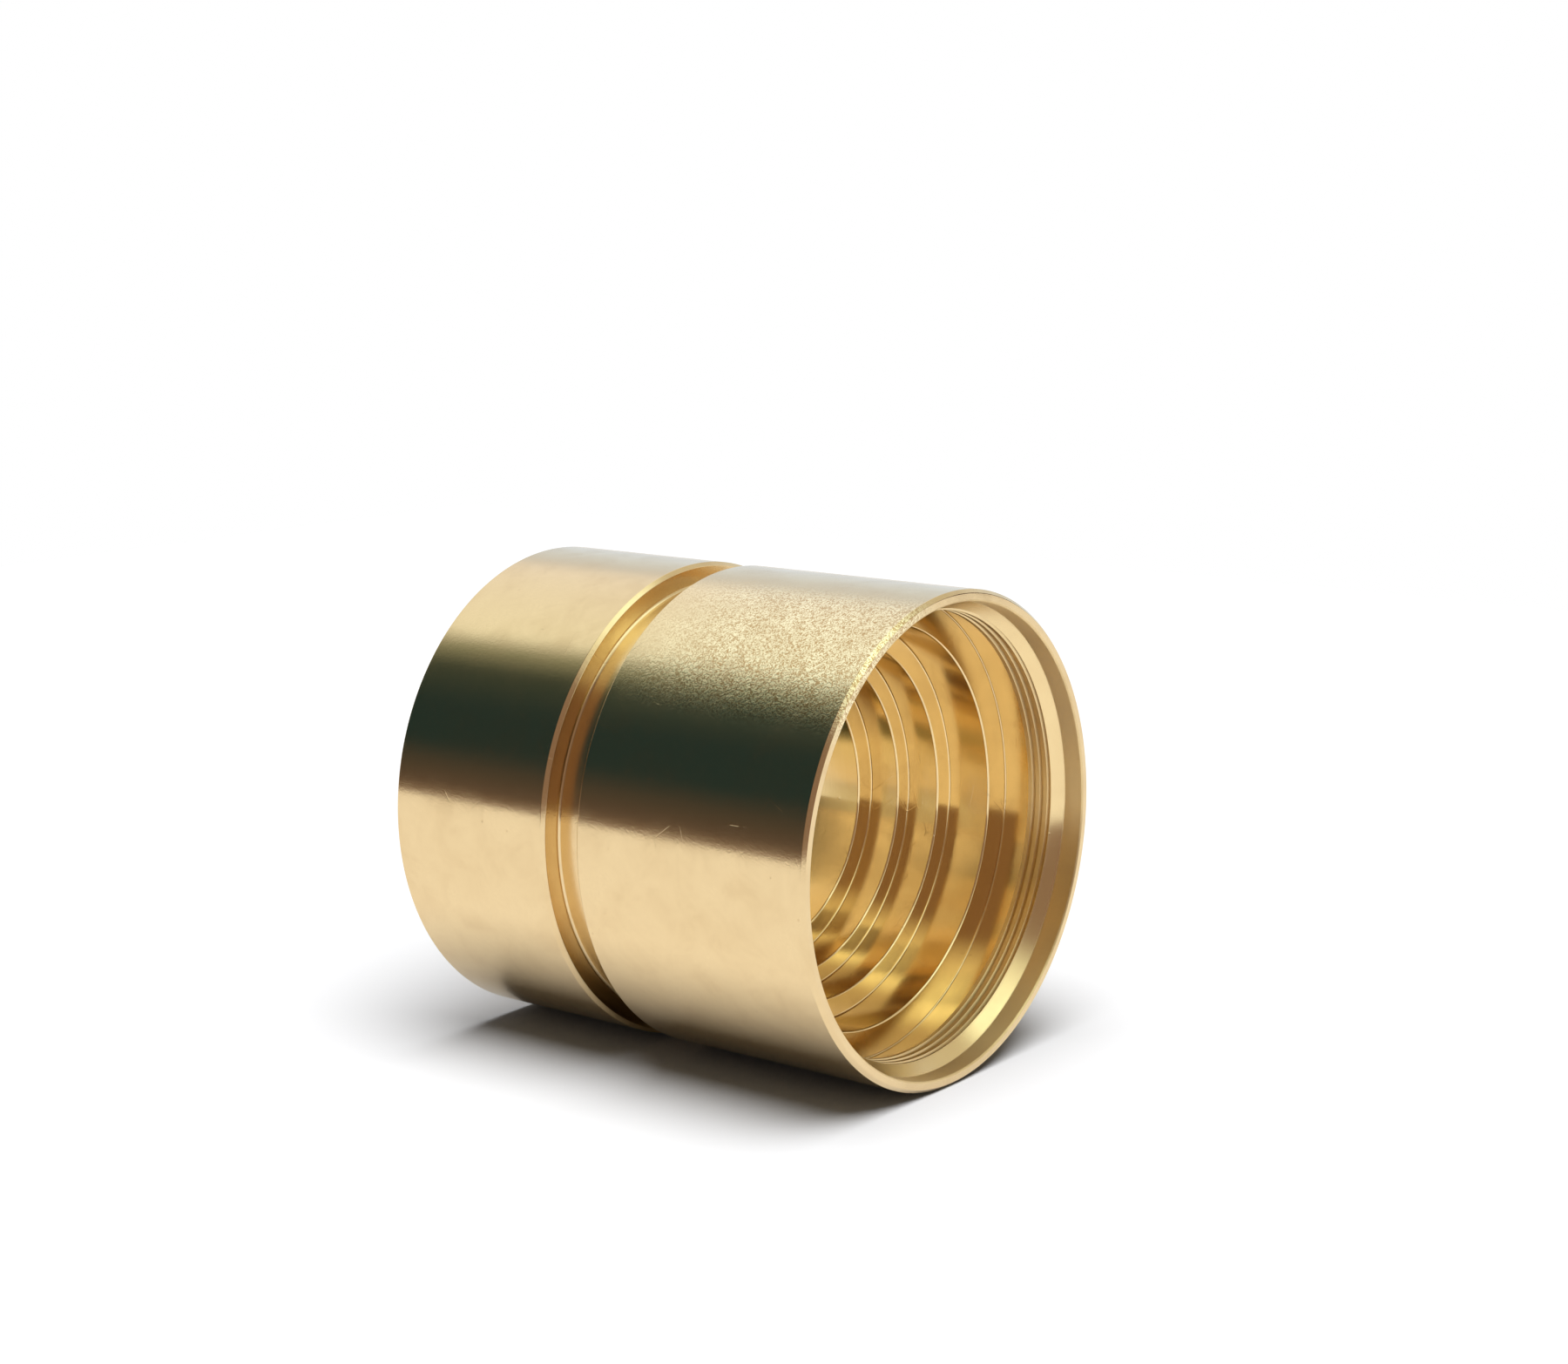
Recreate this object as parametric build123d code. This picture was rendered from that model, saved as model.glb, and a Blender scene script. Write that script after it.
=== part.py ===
from build123d import *
import os

# A short sleeve turned from one brass bar. It stands on its open back end with its mouth up.
# Z is the turning axis and the back face lies at Z = 0. All sizes are in millimetres.

# Outside
outer_diameter = 27.0
length = 28.3
groove_height = 11.0  # back face to the lower wall of the ring groove
groove_width = 2.25
groove_depth = 1.25

# Mouth, from the rim inwards: plain counterbore, 45 degree lead-in, thread land, relief
mouth_wall = 0.65
mouth_depth = 1.15
thread_wall = 1.0  # wall left outside the thread's major diameter
thread_pitch = 0.5
thread_length = 1.55
relief_wall = 0.65
relief_length = 1.88

# Seats that narrow inwards: the width of the shoulder that starts each, and its length
seats = [(1.75, 2.7), (1.2, 2.05), (1.05, 1.9)]
last_shoulder = 1.25  # the shoulder where the through bore starts

# Back end: one plain wide bore, where the through bore ends
back_wall = 1.5
back_depth = 10.0

# Edges
edge_break = 0.2  # 45 degree break on outside corners and at the back bore
lip_break = 0.08  # the finer break inside the rim and on each shoulder's lip
corner_radius = 0.2  # left by the tool's nose in the corners of the ring groove and the back bore
bore_corner_radius = 0.1  # left by the finer tool that cut the mouth and the seats

# Radii that follow from the walls
outer_radius = outer_diameter / 2
groove_radius = outer_radius - groove_depth
mouth_radius = outer_radius - mouth_wall
thread_crest_height = 0.5413 * thread_pitch  # 60 degree thread, crest to nominal diameter
thread_crest_radius = outer_radius - thread_wall - thread_crest_height
relief_radius = outer_radius - relief_wall
back_radius = outer_radius - back_wall

# Heights that follow from the lengths
groove_top = groove_height + groove_width
lead_in_top = length - mouth_depth
lead_in_bottom = lead_in_top - (mouth_radius - thread_crest_radius)
thread_bottom = lead_in_bottom - thread_length
relief_bottom = thread_bottom - relief_length


def stepped_bore():
    """Corners of the seats and the through bore, as (inside corner, lip) pairs going down."""
    radius = relief_radius
    height = relief_bottom
    pairs = []
    for shoulder_width, seat_length in seats:
        pairs.append(((radius, height), (radius - shoulder_width, height)))
        radius -= shoulder_width
        height -= seat_length
    pairs.append(((radius, height), (radius - last_shoulder, height)))
    return pairs


def outline(steps):
    """The section's corners before any edge is broken or rounded, from the back bore's foot."""
    bore_radius = steps[-1][1][0]
    outside = [
        (back_radius, 0),
        (outer_radius, 0),
        (outer_radius, groove_height),
        (groove_radius, groove_height),
        (groove_radius, groove_top),
        (outer_radius, groove_top),
        (outer_radius, length),
    ]
    mouth = [
        (mouth_radius, length),
        (mouth_radius, lead_in_top),
        (thread_crest_radius, lead_in_bottom),
        (thread_crest_radius, thread_bottom),
        (relief_radius, thread_bottom),
    ]
    back = [(bore_radius, back_depth), (back_radius, back_depth)]
    return outside + mouth + [corner for pair in steps for corner in pair] + back


def corners_at(sketch, places):
    """The sketch's vertices that lie at the given (radius, height) places."""
    chosen = ShapeList()
    for radius, height in places:
        chosen += sketch.vertices().sort_by_distance((radius, height, 0))[:1]
    return chosen


def turned_sleeve():
    steps = stepped_bore()
    corners = outline(steps)
    lips = [(mouth_radius, length)] + [lip for _, lip in steps]
    outside_corners = [corner for corner in corners[:7] if corner[0] == outer_radius]
    groove_corners = [(groove_radius, groove_height), (groove_radius, groove_top)]
    bore_corners = [(relief_radius, thread_bottom)] + [inside for inside, _ in steps]
    back_foot, back_lip, back_corner = corners[0], corners[-2], corners[-1]

    with BuildPart() as sleeve:
        with BuildSketch(Plane.XZ) as section:
            with BuildLine():
                Polyline(*corners, close=True)
            make_face()
            chamfer(corners_at(section, outside_corners + [back_foot, back_lip]), edge_break)
            chamfer(corners_at(section, lips), lip_break)
            fillet(corners_at(section, groove_corners + [back_corner]), corner_radius)
            fillet(corners_at(section, bore_corners), bore_corner_radius)
        revolve(axis=Axis.Z)
    return sleeve.part


os.makedirs("parts", exist_ok=True)
export_step(turned_sleeve(), "parts/turned_sleeve.step")
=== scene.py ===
# A short brass sleeve from the lathe: one closed section spun round Z, with a helical thread in its mouth.
from math import cos, pi, radians, sin, tan

import bpy
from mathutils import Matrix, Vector


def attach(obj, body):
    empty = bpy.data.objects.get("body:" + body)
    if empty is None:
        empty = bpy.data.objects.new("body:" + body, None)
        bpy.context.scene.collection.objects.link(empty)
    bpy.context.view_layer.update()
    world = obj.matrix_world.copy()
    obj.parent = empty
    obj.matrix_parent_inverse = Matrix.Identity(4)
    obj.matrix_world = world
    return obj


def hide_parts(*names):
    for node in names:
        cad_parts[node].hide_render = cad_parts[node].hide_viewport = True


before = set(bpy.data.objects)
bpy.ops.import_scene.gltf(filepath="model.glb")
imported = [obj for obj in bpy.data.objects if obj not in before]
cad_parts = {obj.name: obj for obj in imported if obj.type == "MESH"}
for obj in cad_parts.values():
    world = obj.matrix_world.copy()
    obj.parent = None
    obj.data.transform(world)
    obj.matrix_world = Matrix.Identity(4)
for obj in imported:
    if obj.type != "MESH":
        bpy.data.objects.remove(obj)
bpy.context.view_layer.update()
mm = 0.001
touching = 1e-6  # metres; corners nearer than this are the same corner
print("frame loaded,", len(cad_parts), "node")


def clearSelection():
    if bpy.context.object and bpy.context.object.mode != "OBJECT":
        bpy.ops.object.mode_set(mode="OBJECT")
    bpy.ops.object.select_all(action="DESELECT")


def pick(piece, kind, wanted):
    # leaves the piece in edit mode with only the wanted vertices or faces selected
    modes = {"vertices": "VERT", "polygons": "FACE"}
    bpy.ops.object.mode_set(mode="EDIT")
    bpy.ops.mesh.select_mode(type=modes[kind])
    bpy.ops.mesh.select_all(action="DESELECT")
    bpy.ops.object.mode_set(mode="OBJECT")
    for item in getattr(piece.data, kind):
        item.select = wanted(item)
    bpy.ops.object.mode_set(mode="EDIT")


def drawOutline(name, corners):
    # one point, extruded from corner to corner in the XZ plane, then closed and filled
    places = [Vector((radius, 0, height)) * mm for radius, height in corners]
    clearSelection()
    bpy.ops.mesh.primitive_plane_add(size=mm)
    piece = bpy.context.object
    piece.name = name
    bpy.ops.object.mode_set(mode="EDIT")
    bpy.ops.mesh.merge(type="CENTER")
    bpy.ops.transform.translate(value=places[0])
    for here, there in zip(places, places[1:]):
        bpy.ops.mesh.extrude_region_move(TRANSFORM_OT_translate={"value": there - here})
    ends = (places[0], places[-1])
    pick(piece, "vertices", lambda v: min((v.co - end).length for end in ends) < touching)
    bpy.ops.mesh.edge_face_add()
    bpy.ops.mesh.select_all(action="SELECT")
    bpy.ops.mesh.edge_face_add()
    return piece


def dropFace():
    # the filled outline goes back to its bare edges, ready to be swept
    bpy.ops.mesh.select_mode(type="FACE")
    bpy.ops.mesh.select_all(action="SELECT")
    bpy.ops.mesh.delete(type="ONLY_FACE")


def useModifier(piece, kind, settings):
    modifier = piece.modifiers.new(kind.title(), kind)
    for name, value in settings.items():
        setattr(modifier, name, value)
    clearSelection()
    bpy.context.view_layer.objects.active = piece
    piece.select_set(True)
    bpy.ops.object.modifier_apply(modifier=modifier.name)


sleeve = {
    # millimetres; heights are over the back face
    "outerRadius": 13.5,
    "length": 28.3,
    "grooveFoot": 11.0,
    "grooveWidth": 2.25,
    "grooveDepth": 1.25,
    "mouthWall": 0.65,
    "mouthDepth": 1.15,
    "crestRadius": 12.2293,  # the land that the thread is cut in
    "landLength": 1.55,
    "reliefWall": 0.65,
    "reliefLength": 1.88,
    "seats": [(1.75, 2.7), (1.2, 2.05), (1.05, 1.9)],  # each one's shoulder width and length, going down
    "lastShoulder": 1.25,  # where the through bore starts
    "backWall": 1.5,
    "backDepth": 10.0,
    # size and steps of each kind of corner; a crisp one has a tiny round that catches light
    "corners": {
        "broken": (0.2, 1),
        "lip": (0.08, 1),
        "crisp": (0.025, 2),
        "inside": (0.2, 4),
        "fine": (0.1, 4),
    },
    "spinSteps": 480,
    "weld": 1e-7,  # metres
}


def sectionCorners():
    # radius, height and kind of each corner, from the back bore's foot round to its top
    outer = sleeve["outerRadius"]
    length = sleeve["length"]
    grooveFoot = sleeve["grooveFoot"]
    grooveTop = grooveFoot + sleeve["grooveWidth"]
    grooveFloor = outer - sleeve["grooveDepth"]
    mouth = outer - sleeve["mouthWall"]
    crest = sleeve["crestRadius"]
    relief = outer - sleeve["reliefWall"]
    back = outer - sleeve["backWall"]
    backDepth = sleeve["backDepth"]
    leadInTop = length - sleeve["mouthDepth"]
    leadInFoot = leadInTop - (mouth - crest)  # at 45 degrees
    landFoot = leadInFoot - sleeve["landLength"]
    corners = [
        (back, 0, "broken"),
        (outer, 0, "broken"),
        (outer, grooveFoot, "broken"),
        (grooveFloor, grooveFoot, "inside"),
        (grooveFloor, grooveTop, "inside"),
        (outer, grooveTop, "broken"),
        (outer, length, "broken"),
        (mouth, length, "lip"),
        (mouth, leadInTop, "crisp"),
        (crest, leadInFoot, "crisp"),
        (crest, landFoot, "crisp"),
        (relief, landFoot, "fine"),
    ]
    radius = relief
    height = landFoot - sleeve["reliefLength"]
    for shoulder, seatLength in sleeve["seats"]:
        corners += [(radius, height, "fine"), (radius - shoulder, height, "lip")]
        radius -= shoulder
        height -= seatLength
    bore = radius - sleeve["lastShoulder"]
    corners += [(radius, height, "fine"), (bore, height, "lip")]
    return corners + [(bore, backDepth, "broken"), (back, backDepth, "inside")]


section = sectionCorners()


def finishCorners(piece, kind):
    size, steps = sleeve["corners"][kind]
    places = [Vector((radius, 0, height)) * mm for radius, height, corner in section if corner == kind]
    pick(piece, "vertices", lambda v: min((v.co - place).length for place in places) < touching)
    bpy.ops.mesh.bevel(offset=size * mm, segments=steps, affect="VERTICES")
    if kind in ("broken", "lip"):  # the two new corners of each chamfer are crisp ones
        size, steps = sleeve["corners"]["crisp"]
        bpy.ops.mesh.bevel(offset=size * mm, segments=steps, affect="VERTICES")


def turnSleeve():
    piece = drawOutline("turnedBody", [(radius, height) for radius, height, _ in section])
    for kind in sleeve["corners"]:
        finishCorners(piece, kind)
    dropFace()
    bpy.ops.mesh.select_mode(type="VERT")
    bpy.ops.mesh.select_all(action="SELECT")
    bpy.ops.mesh.spin(steps=sleeve["spinSteps"], angle=2 * pi, center=(0, 0, 0), axis=(0, 0, 1))
    bpy.ops.mesh.select_all(action="SELECT")
    bpy.ops.mesh.remove_doubles(threshold=sleeve["weld"])
    bpy.ops.mesh.normals_make_consistent(inside=False)
    bpy.ops.object.mode_set(mode="OBJECT")
    return piece


body = turnSleeve()
print("body spun,", len(body.data.polygons), "faces")

thread = {
    # millimetres
    "pitch": 0.5,
    "majorRadius": 12.4,
    "rootFlat": 0.0625,
    "flankAngle": 30,  # degrees
    "toolRadius": 12.13,  # the tool's inner edge, in free air inside the land
    "startHeight": 24.64,  # in the relief, where the helix starts
    "turns": 5,
    "weld": 1e-8,  # metres
}


def makeThreadTool():
    # a ridge with the groove's own section, swept up the helix
    inner = thread["toolRadius"]
    outer = thread["majorRadius"]
    start = thread["startHeight"]
    narrow = thread["rootFlat"] / 2
    wide = narrow + (outer - inner) * tan(radians(thread["flankAngle"]))
    corners = [
        (inner, start - wide),
        (outer, start - narrow),
        (outer, start + narrow),
        (inner, start + wide),
    ]
    tool = drawOutline("threadTool", corners)
    dropFace()
    useModifier(tool, "SCREW", {
        "axis": "Z",
        "angle": 2 * pi,
        "screw_offset": thread["pitch"] * mm,
        "iterations": thread["turns"],
        "steps": sleeve["spinSteps"],
        "render_steps": sleeve["spinSteps"],
    })
    bpy.ops.object.mode_set(mode="EDIT")
    bpy.ops.mesh.select_all(action="SELECT")
    bpy.ops.mesh.remove_doubles(threshold=thread["weld"])
    bpy.ops.mesh.fill_holes(sides=len(corners))
    bpy.ops.mesh.select_all(action="SELECT")
    bpy.ops.mesh.normals_make_consistent(inside=False)
    bpy.ops.object.mode_set(mode="OBJECT")
    print("thread tool swept,", len(tool.data.polygons), "faces")
    return tool


def cutThread(piece):
    tool = makeThreadTool()
    useModifier(piece, "BOOLEAN", {"operation": "DIFFERENCE", "object": tool, "solver": "EXACT"})
    bpy.data.objects.remove(tool)


cutThread(body)
print("thread cut,", len(body.data.polygons), "faces")


def addNode(tree, kind, settings=None, inputs=None):
    # settings are the node's own fields; inputs are numbers, colours or other nodes' outputs
    node = tree.nodes.new(kind)
    for name, value in (settings or {}).items():
        setattr(node, name, value)
    for name, value in (inputs or {}).items():
        if isinstance(value, bpy.types.NodeSocket):
            tree.links.new(value, node.inputs[name])
        else:
            node.inputs[name].default_value = value
    return node


def addMath(tree, operation, *values):
    return addNode(tree, "ShaderNodeMath", {"operation": operation}, dict(enumerate(values))).outputs[0]


def addVector(tree, operation, *values):
    # the result is under Vector, or under Value where it is a number
    return addNode(tree, "ShaderNodeVectorMath", {"operation": operation}, dict(enumerate(values))).outputs


def addRange(tree, value, start, end, kind="SMOOTHSTEP"):
    # 0 on the start's side and 1 on the end's
    span = {0: value, 1: start, 2: end}
    return addNode(tree, "ShaderNodeMapRange", {"interpolation_type": kind}, span).outputs[0]


def addMix(tree, share, first, second):
    return addNode(tree, "ShaderNodeMix", {"data_type": "RGBA"}, {0: share, 6: first, 7: second}).outputs[2]


def addAxis(tree, place, axis):
    return addNode(tree, "ShaderNodeSeparateXYZ", inputs={0: place}).outputs[axis]


def addRamp(tree, factor, stops):
    ramp = addNode(tree, "ShaderNodeValToRGB", inputs={"Fac": factor})
    elements = ramp.color_ramp.elements
    for place, colour in stops[1:-1]:
        elements.new(place)
    for element, (place, colour) in zip(elements, stops):
        element.position = place
        element.color = (*colour, 1)
    return ramp.outputs["Color"]


turnedWear = {
    # lengths in millimetres, noise scales per millimetre
    "markPitch": 0.14,
    "markDrift": 1.6,  # how fast the marks change round the sleeve
    "marks": {"Scale": 1, "Detail": 2.5, "Roughness": 0.6},
    "grainSize": 0.18,
    "grain": {"Detail": 1.5, "Roughness": 0.5, "Distortion": 0.9},
    "patches": {"Scale": 0.42, "Detail": 4, "Roughness": 0.62, "Distortion": 0.4},
    "patchEdge": (0.38, 0.68),
    "patchStain": 0.8,
    "crackEdge": (0.09, 0.02),  # stained lines where the grain is halfway between high and low
    "crackStain": (3.3, 0.3),  # more of them where the grain is coarse, and how many elsewhere
    "speckScale": 0.7,
    "speckChance": 0.62,  # cells below this have none
    "speckEdge": (0.075, 0.04),
    "scratchScale": 0.6,
    "scratchTurn": (0.5, 0.9, 0.35),  # radians
    "scratchStretch": (0.07, 0.9, 0.9),  # long and thin
    "scratchEdge": (0.011, 0.003),
    "scratchPatches": (0.55, 0.63),  # only where the patches are strong
    "smoothGrain": 0.2,  # share of the grain that is left on the smooth sides
    "dentHeight": -0.003,  # of specks and scratches
}


def addMarks(tree, place):
    # the marks change fast along the axis and across the shoulders, and slowly round the sleeve
    fine = 1 / turnedWear["markPitch"]
    drift = turnedWear["markDrift"]
    flat = addVector(tree, "MULTIPLY", place, (1, 1, 0))["Vector"]
    aside = addVector(tree, "NORMALIZE", flat)["Vector"]
    across = addMath(tree, "MULTIPLY", addVector(tree, "LENGTH", flat)["Value"], fine)
    along = addMath(tree, "MULTIPLY", addAxis(tree, place, "Z"), fine)
    lift = addNode(tree, "ShaderNodeCombineXYZ", inputs={"Z": along}).outputs[0]
    spun = addVector(tree, "MULTIPLY_ADD", aside, (drift, drift, 0), lift)["Vector"]
    look = {"Vector": spun, "W": across, **turnedWear["marks"]}
    return addNode(tree, "ShaderNodeTexNoise", {"noise_dimensions": "4D"}, look).outputs["Fac"]


def addSpecks(tree, place):
    look = {"Vector": place, "Scale": turnedWear["speckScale"]}
    cells = addNode(tree, "ShaderNodeTexVoronoi", inputs=look)
    luck = addAxis(tree, cells.outputs["Color"], "X")
    chosen = addMath(tree, "GREATER_THAN", luck, turnedWear["speckChance"])
    near = addRange(tree, cells.outputs["Distance"], *turnedWear["speckEdge"])
    return addMath(tree, "MULTIPLY", near, chosen)


def addScratches(tree, place, patches):
    skewed = addNode(tree, "ShaderNodeMapping", inputs={
        "Vector": place,
        "Rotation": turnedWear["scratchTurn"],
        "Scale": turnedWear["scratchStretch"],
    }).outputs[0]
    lines = addNode(tree, "ShaderNodeTexVoronoi", {"feature": "DISTANCE_TO_EDGE"}, {
        "Vector": skewed,
        "Scale": turnedWear["scratchScale"],
    }).outputs["Distance"]
    thin = addRange(tree, lines, *turnedWear["scratchEdge"], "LINEAR")
    rare = addRange(tree, patches, *turnedWear["scratchPatches"], "LINEAR")
    return addMath(tree, "MULTIPLY", thin, rare)


def addSocket(group, name, direction, kind="NodeSocketFloat"):
    group.interface.new_socket(name=name, in_out=direction, socket_type=kind)


def makeWear():
    # turning marks, grain, stains, specks and scratches, worked out from the place on the piece
    group = bpy.data.node_groups.new("turnedWear", "ShaderNodeTree")
    addSocket(group, "Place", "INPUT", "NodeSocketVector")
    for name in ("Marks", "Grain", "Grained"):
        addSocket(group, name, "INPUT")
    for name in ("Height", "Stain", "Patches"):
        addSocket(group, name, "OUTPUT")
    given = group.nodes.new("NodeGroupInput").outputs
    scaled = {0: given["Place"], "Scale": 1 / mm}
    place = addNode(group, "ShaderNodeVectorMath", {"operation": "SCALE"}, scaled).outputs[0]
    marks = addMath(group, "MULTIPLY", addMarks(group, place), given["Marks"])
    look = {"Vector": place, "Scale": 1 / turnedWear["grainSize"], **turnedWear["grain"]}
    grain = addNode(group, "ShaderNodeTexNoise", inputs=look).outputs["Fac"]
    look = {"Vector": place, **turnedWear["patches"]}
    patches = addNode(group, "ShaderNodeTexNoise", inputs=look).outputs["Fac"]
    specks = addSpecks(group, place)
    scratches = addScratches(group, place, patches)
    # height in millimetres
    share = addMath(group, "ADD", given["Grained"], turnedWear["smoothGrain"])
    coarse = addMath(group, "MULTIPLY", addMath(group, "MULTIPLY", grain, given["Grain"]), share)
    dents = addMath(group, "MULTIPLY", addMath(group, "ADD", scratches, specks), turnedWear["dentHeight"])
    total = addMath(group, "ADD", addMath(group, "ADD", marks, coarse), dents)
    # stain, from 0 for clean metal
    ridge = addMath(group, "ABSOLUTE", addMath(group, "SUBTRACT", grain, 0.5))
    cracks = addRange(group, ridge, *turnedWear["crackEdge"])
    amount = addMath(group, "MULTIPLY_ADD", given["Grained"], *turnedWear["crackStain"])
    dirt = addMath(group, "ADD", addMath(group, "MULTIPLY", cracks, amount), specks)
    uneven = addRange(group, patches, *turnedWear["patchEdge"], "LINEAR")
    stain = addMath(group, "MAXIMUM", dirt, addMath(group, "MULTIPLY", uneven, turnedWear["patchStain"]))
    result = group.nodes.new("NodeGroupOutput").inputs
    for name, value in {"Height": total, "Stain": stain, "Patches": uneven}.items():
        group.links.new(value, result[name])
    return group


wear = makeWear()

brass = {
    "outside": {
        "colour": (0.79, 0.605, 0.34, 1),
        "anisotropy": 0.7,
        "marks": 0.0011,  # height of the turning marks, mm
        "grain": 0.01,  # height of the coarse grain, mm
        "stain": 0.26,
    },
    "bore": {
        "colour": (0.845, 0.65, 0.345, 1),
        "anisotropy": 0.88,
        "marks": 0.0008,
        "grain": 0.0002,
        "stain": 0.14,
    },
    "stainColour": (0.50, 0.31, 0.13, 1),
    "markDirection": 0.25,  # turns from the tangent, so the marks run round the sleeve
    "roughSpread": 0.05,  # how much rougher the patches are
    "outsideRoughness": 0.16,
    "boreRoughness": [
        # height in millimetres and roughness, from the back face to the rim
        (0, 0.13),
        (24.9, 0.13),
        (25.0, 0.3),  # thread
        (26.5, 0.3),
        (26.56, 0.2),  # lead-in
        (27.12, 0.2),
        (27.17, 0.42),  # counterbore
        (28.3, 0.42),
    ],
    # where the coarse grain and a painted sheen are, on the side of the front land where the highlight
    # falls
    "grainAndSheenSide": -11,  # degrees round Z
    "grainAndSheenFade": (0.9, 0.97),  # from its outer edge to full strength, as cosines from that side
    "grainAndSheenHeights": (10, 20),  # mm
    "grainAndSheenColour": (0.97, 0.86, 0.56, 1),  # paler: partly the grain, partly a painted sheen where the highlight falls
    "grainedRoughness": 0.05,  # more than the rest
    # the bore's finish is inside this radius and above this height, mm, and not in the ring groove
    "boreRadius": 12.99,
    "boreFoot": 0.05,
    "grooveRadius": 12.2,
    "grooveHeights": (10.9, 13.3),
}


def addBoreRoughness(tree, height):
    length = sleeve["length"]
    stops = [(z / length, (value, value, value)) for z, value in brass["boreRoughness"]]
    return addRamp(tree, addMath(tree, "DIVIDE", height, length * mm), stops)


def addGrainAndSheen(tree, spot, height):
    # 1 on the side of the front land that has the coarse grain and the painted sheen, and 0 elsewhere
    aim = radians(brass["grainAndSheenSide"])
    low, high = brass["grainAndSheenHeights"]
    flat = addVector(tree, "MULTIPLY", spot, (1, 1, 0))["Vector"]
    aside = addVector(tree, "NORMALIZE", flat)["Vector"]
    turned = addVector(tree, "DOT_PRODUCT", aside, (cos(aim), sin(aim), 0))["Value"]
    facing = addRange(tree, turned, *brass["grainAndSheenFade"])
    return addMath(tree, "MULTIPLY", facing, addRange(tree, height, low * mm, high * mm))


def makeBrass(part):
    finish = brass[part]
    material = bpy.data.materials.new(part + "Brass")
    material.use_nodes = True
    tree = material.node_tree
    surface = tree.nodes["Principled BSDF"].inputs
    surface["Metallic"].default_value = 1
    surface["Anisotropic"].default_value = finish["anisotropy"]
    surface["Anisotropic Rotation"].default_value = brass["markDirection"]
    around = addNode(tree, "ShaderNodeTangent", {"direction_type": "RADIAL", "axis": "Z"}).outputs[0]
    spot = addNode(tree, "ShaderNodeTexCoord").outputs["Object"]
    height = addAxis(tree, spot, "Z")
    if part == "bore":
        grainAndSheen = 0.0
        rough = addBoreRoughness(tree, height)
    else:
        grainAndSheen = addGrainAndSheen(tree, spot, height)
        rough = addMath(tree, "MULTIPLY_ADD", grainAndSheen, brass["grainedRoughness"], brass["outsideRoughness"])
    worn = addNode(tree, "ShaderNodeGroup", {"node_tree": wear}, {
        "Place": spot,
        "Marks": finish["marks"],
        "Grain": finish["grain"],
        "Grained": grainAndSheen,
    }).outputs
    # the grained side's paler colour is partly the grain and partly a painted sheen where the highlight
    # falls
    clean = addMix(tree, grainAndSheen, finish["colour"], brass["grainAndSheenColour"])
    stained = addMath(tree, "MULTIPLY", worn["Stain"], finish["stain"])
    colour = addMix(tree, stained, clean, brass["stainColour"])
    spread = addMath(tree, "MULTIPLY_ADD", worn["Patches"], brass["roughSpread"], rough)
    relief = {"Strength": 1, "Distance": mm, "Height": worn["Height"]}
    bump = addNode(tree, "ShaderNodeBump", inputs=relief).outputs[0]
    made = {"Tangent": around, "Base Color": colour, "Roughness": spread, "Normal": bump}
    for name, value in made.items():
        tree.links.new(value, surface[name])
    return material


def isBore(face):
    radius = face.center.xy.length
    low, high = brass["grooveHeights"]
    inGroove = radius > brass["grooveRadius"] * mm and low * mm < face.center.z < high * mm
    return radius < brass["boreRadius"] * mm and face.center.z > brass["boreFoot"] * mm and not inGroove


def dressBody():
    for part in ("outside", "bore"):
        body.data.materials.append(makeBrass(part))
    pick(body, "polygons", isBore)
    body.active_material_index = 1
    bpy.ops.object.material_slot_assign()
    bpy.ops.object.mode_set(mode="OBJECT")


dressBody()
print("brass finished")

shading = {
    "sharpAngle": 32,  # degrees
    "wideFace": 0.1,  # mm across, above which a face keeps its own normal
    "threadHeights": (24.99, 27.14),  # mm, from the thread's foot to the lead-in's top
    "threadRadius": 12.86,
}


def isPlain(face):
    radius = face.center.xy.length
    foot, top = shading["threadHeights"]
    inThread = radius < shading["threadRadius"] * mm and foot * mm < face.center.z < top * mm
    step = 2 * pi / sleeve["spinSteps"] * radius
    return face.area > shading["wideFace"] * mm * step and not inThread


def smoothBody():
    # walls, shoulders and lands keep their true normals, and only the small edges blend
    clearSelection()
    bpy.context.view_layer.objects.active = body
    body.select_set(True)
    bpy.ops.object.shade_smooth_by_angle(angle=radians(shading["sharpAngle"]))
    pick(body, "polygons", isPlain)
    bpy.ops.mesh.set_normals_from_faces(keep_sharp=True)
    bpy.ops.object.mode_set(mode="OBJECT")


smoothBody()
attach(body, "root")
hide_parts("turned_sleeve")

# the table touches the sleeve's side, so the sleeve seems to lie on it
table = {
    "turn": -45,  # the way its top faces, degrees round Z
    "gap": 0.02,  # mm
    "size": 0.36,  # metres
    "litColour": (0.3, 0.3, 0.3, 1),  # what it throws back as light
    "seenColour": (1.18, 1.185, 1.2, 1),
    "mirroredColour": (1.22, 1.22, 1.22, 1),  # what the metal shows of it
}
tableTurn = radians(table["turn"])
up = Vector((cos(tableTurn), sin(tableTurn), 0))  # away from the table
side = Vector((-sin(tableTurn), cos(tableTurn), 0))  # along the table, towards the camera's side


def addMirrored(tree, path, dimmed):
    # 1 for what metal and glass mirror, and dimmed where that falls back on something matt
    bounced = addMath(tree, "MINIMUM", path["Diffuse Depth"], 1)
    strength = addMath(tree, "MULTIPLY_ADD", bounced, dimmed - 1, 1)
    sharp = addMath(tree, "MAXIMUM", path["Is Glossy Ray"], path["Is Transmission Ray"])
    return addMath(tree, "MULTIPLY", sharp, strength)


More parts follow.
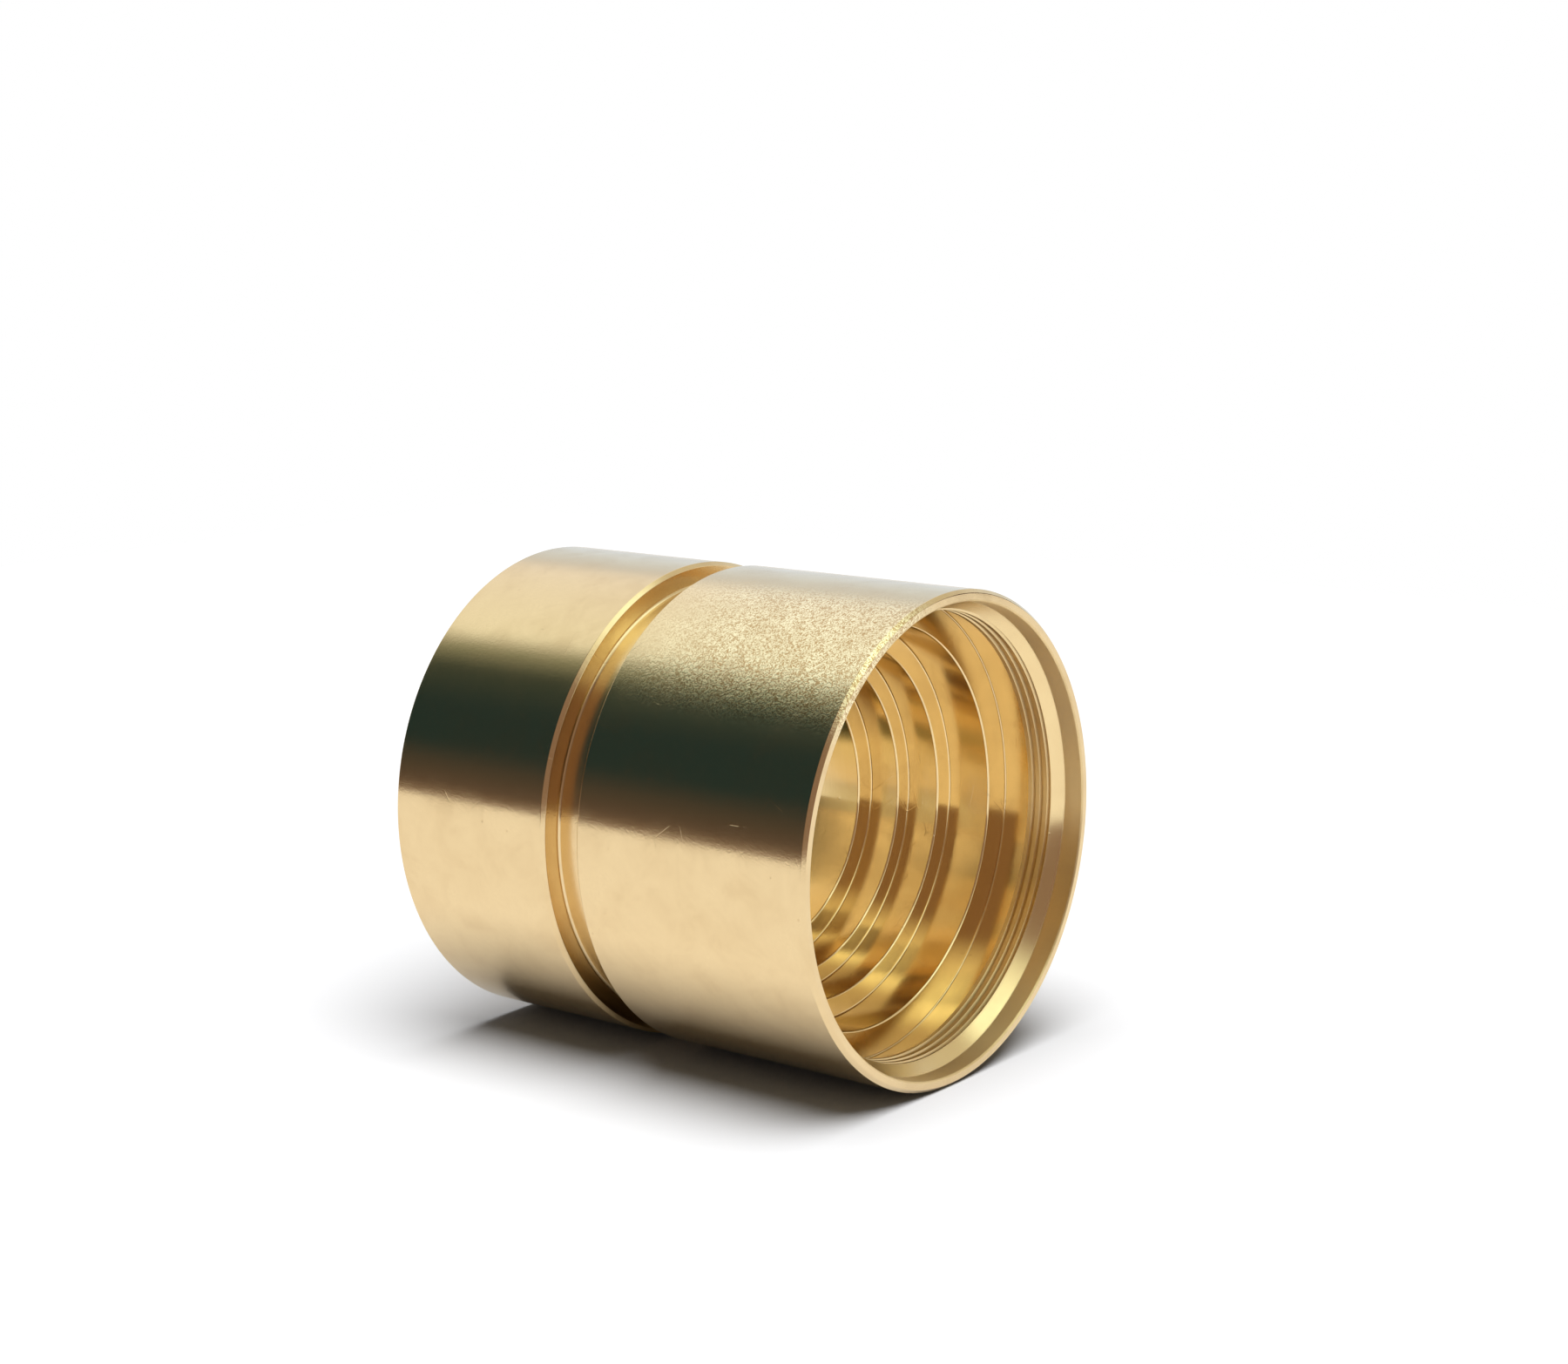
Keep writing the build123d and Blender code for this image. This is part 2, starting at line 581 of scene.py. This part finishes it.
def makeTableTop():
    # matt and pale, still taking the sleeve's shadow, and clear to a camera under it
    material = bpy.data.materials.new("paleTable")
    material.use_nodes = True
    tree = material.node_tree
    tree.nodes.remove(tree.nodes["Principled BSDF"])
    path = addNode(tree, "ShaderNodeLightPath").outputs
    under = addNode(tree, "ShaderNodeNewGeometry").outputs["Backfacing"]
    lit = addMix(tree, addMirrored(tree, path, 0), table["litColour"], table["mirroredColour"])
    colour = addMix(tree, path["Is Camera Ray"], lit, table["seenColour"])
    matt = addNode(tree, "ShaderNodeBsdfDiffuse", inputs={"Color": colour}).outputs[0]
    clear = addNode(tree, "ShaderNodeBsdfTransparent").outputs[0]
    seenUnder = addMath(tree, "MULTIPLY", under, path["Is Camera Ray"])
    both = addNode(tree, "ShaderNodeMixShader", inputs={0: seenUnder, 1: matt, 2: clear}).outputs[0]
    tree.links.new(both, tree.nodes["Material Output"].inputs["Surface"])
    return material


def makeTable():
    clearSelection()
    bpy.ops.mesh.primitive_plane_add(
        size=table["size"],
        location=up * -(sleeve["outerRadius"] + table["gap"]) * mm,
        rotation=(0, radians(90), tableTurn),
    )
    floor = bpy.context.object
    floor.name = "paleTable"
    floor.data.materials.append(makeTableTop())


makeTable()

studio = {
    # what the brass mirrors past the sleeve's back end, and then past its mouth,
    # by the angle round the sleeve in degrees: 0 is the camera's side, and 90 is straight up
    "backRing": [
        (-180, (1.0, 1.0, 1.0)),
        (-10, (1.0, 1.0, 1.0)),
        (-6, (0.3, 0.2, 0.15)),
        (0, (0.12, 0.085, 0.07)),
        (10, (0.08, 0.07, 0.06)),
        (22, (0.022, 0.045, 0.052)),
        (42, (0.022, 0.045, 0.052)),
        (62, (0.05, 0.07, 0.06)),
        (74, (0.3, 0.33, 0.25)),
        (82, (1.08, 1.14, 1.12)),
        (136, (1.05, 1.06, 1.1)),
        (144, (0.72, 0.77, 0.87)),
        (156, (0.79, 0.9, 1.04)),
        (180, (0.8, 0.9, 1.02)),
    ],
    "mouthRing": [
        (-180, (1.0, 1.0, 1.0)),
        (-10, (1.0, 1.0, 1.0)),
        (-6, (0.3, 0.21, 0.17)),
        (62, (0.3, 0.21, 0.17)),
        (82, (1.1, 1.15, 1.0)),
        (95, (1.5, 1.7, 1.5)),
        (112, (1.5, 1.7, 1.5)),
        (124, (0.75, 0.72, 0.6)),
        (140, (0.7, 0.67, 0.55)),
        (152, (0.9, 0.88, 0.82)),
        (180, (0.95, 0.95, 0.92)),
    ],
    "ringBlend": (-0.4, 0.4),  # where one gives way to the other, along the sleeve
    "fill": (0.06, 0.06, 0.06, 1),  # what lights everything that isn't a mirror
    "glow": 0.25,  # how much of the mirrored light falls back on the table
    "backdrop": (1, 1, 1, 1),
}


def makeWorld():
    world = bpy.data.worlds.new("studio")
    bpy.context.scene.world = world
    world.use_nodes = True
    tree = world.node_tree
    look = addNode(tree, "ShaderNodeTexCoord").outputs["Generated"]
    rise = addVector(tree, "DOT_PRODUCT", look, up)["Value"]
    across = addVector(tree, "DOT_PRODUCT", look, side)["Value"]
    turn = addMath(tree, "DIVIDE", addMath(tree, "ARCTAN2", rise, across), 2 * pi)
    place = addMath(tree, "ADD", turn, 0.5)
    rings = []
    for name in ("backRing", "mouthRing"):
        stops = [((angle + 180) / 360, colour) for angle, colour in studio[name]]
        rings.append(addRamp(tree, place, stops))
    share = addRange(tree, addAxis(tree, look, "Z"), *studio["ringBlend"])
    path = addNode(tree, "ShaderNodeLightPath").outputs
    mirrored = addMirrored(tree, path, studio["glow"])
    lit = addMix(tree, mirrored, studio["fill"], addMix(tree, share, *rings))
    shown = addMix(tree, path["Is Camera Ray"], lit, studio["backdrop"])
    tree.links.new(shown, tree.nodes["Background"].inputs["Color"])


makeWorld()

lamp = {
    "strength": 2.75,
    "spread": 51,  # degrees across, for a soft shadow
    "from": (0.2, 0.965, 0.17),  # along the sleeve, up, towards the camera's side
    "distance": 0.3,  # metres
}


def makeLamp():
    along, rise, across = lamp["from"]
    away = Vector((0, 0, 1)) * along + up * rise + side * across
    clearSelection()
    bpy.ops.object.light_add(
        type="SUN",
        location=away.normalized() * lamp["distance"],
        rotation=away.to_track_quat("Z", "Y").to_euler(),
    )
    light = bpy.context.object
    light.name = "softLamp"
    light.data.energy = lamp["strength"]
    light.data.angle = radians(lamp["spread"])
    light.visible_glossy = False


makeLamp()

# a dark card that stands round the far side of the mouth, seen only in the metal
darkCard = {
    # millimetres
    "radius": 16,
    "foot": 29.2,
    "top": 36.5,
    "span": (-87, -56),  # degrees round Z
    "steps": 120,
    "roughness": 0.9,
    "colour": (0.1, 0.06, 0.05, 1),
}


def makeCardFinish():
    # it shows its one colour whatever light falls on it
    material = bpy.data.materials.new("darkCard")
    material.use_nodes = True
    surface = material.node_tree.nodes["Principled BSDF"].inputs
    surface["Base Color"].default_value = (0, 0, 0, 1)
    surface["Roughness"].default_value = darkCard["roughness"]
    surface["Emission Color"].default_value = darkCard["colour"]
    surface["Emission Strength"].default_value = 1
    return material


def makeCard():
    foot, top = darkCard["foot"] * mm, darkCard["top"] * mm
    first, last = (radians(angle) for angle in darkCard["span"])
    clearSelection()
    bpy.ops.mesh.primitive_cylinder_add(
        vertices=darkCard["steps"],
        radius=darkCard["radius"] * mm,
        depth=top - foot,
        end_fill_type="NOTHING",
        location=(0, 0, (top + foot) / 2),
    )
    card = bpy.context.object
    card.name = "darkCard"
    middle = (first + last) / 2
    aim = Vector((cos(middle), sin(middle)))
    pick(card, "polygons", lambda f: f.center.xy.normalized().dot(aim) < cos((last - first) / 2))
    bpy.ops.mesh.delete(type="FACE")
    bpy.ops.object.mode_set(mode="OBJECT")
    card.data.materials.append(makeCardFinish())
    card.visible_camera = False
    card.visible_diffuse = False
    card.visible_shadow = False


makeCard()

camera = {
    "place": (0.108677, 0.059581, 0.107708),  # metres
    "turn": (-10.3465, -52.6178, -135.0),  # degrees
    "lens": 63.378,  # mm
    "sensor": 36,  # mm
    "nearest": 0.005,  # metres
}


def makeCamera():
    clearSelection()
    turn = [radians(angle) for angle in camera["turn"]]
    bpy.ops.object.camera_add(location=camera["place"], rotation=turn)
    eye = bpy.context.object
    eye.data.lens = camera["lens"]
    eye.data.sensor_width = camera["sensor"]
    eye.data.clip_start = camera["nearest"]
    bpy.context.scene.camera = eye


makeCamera()
bpy.context.scene.view_settings.view_transform = "Standard"
print("studio ready")
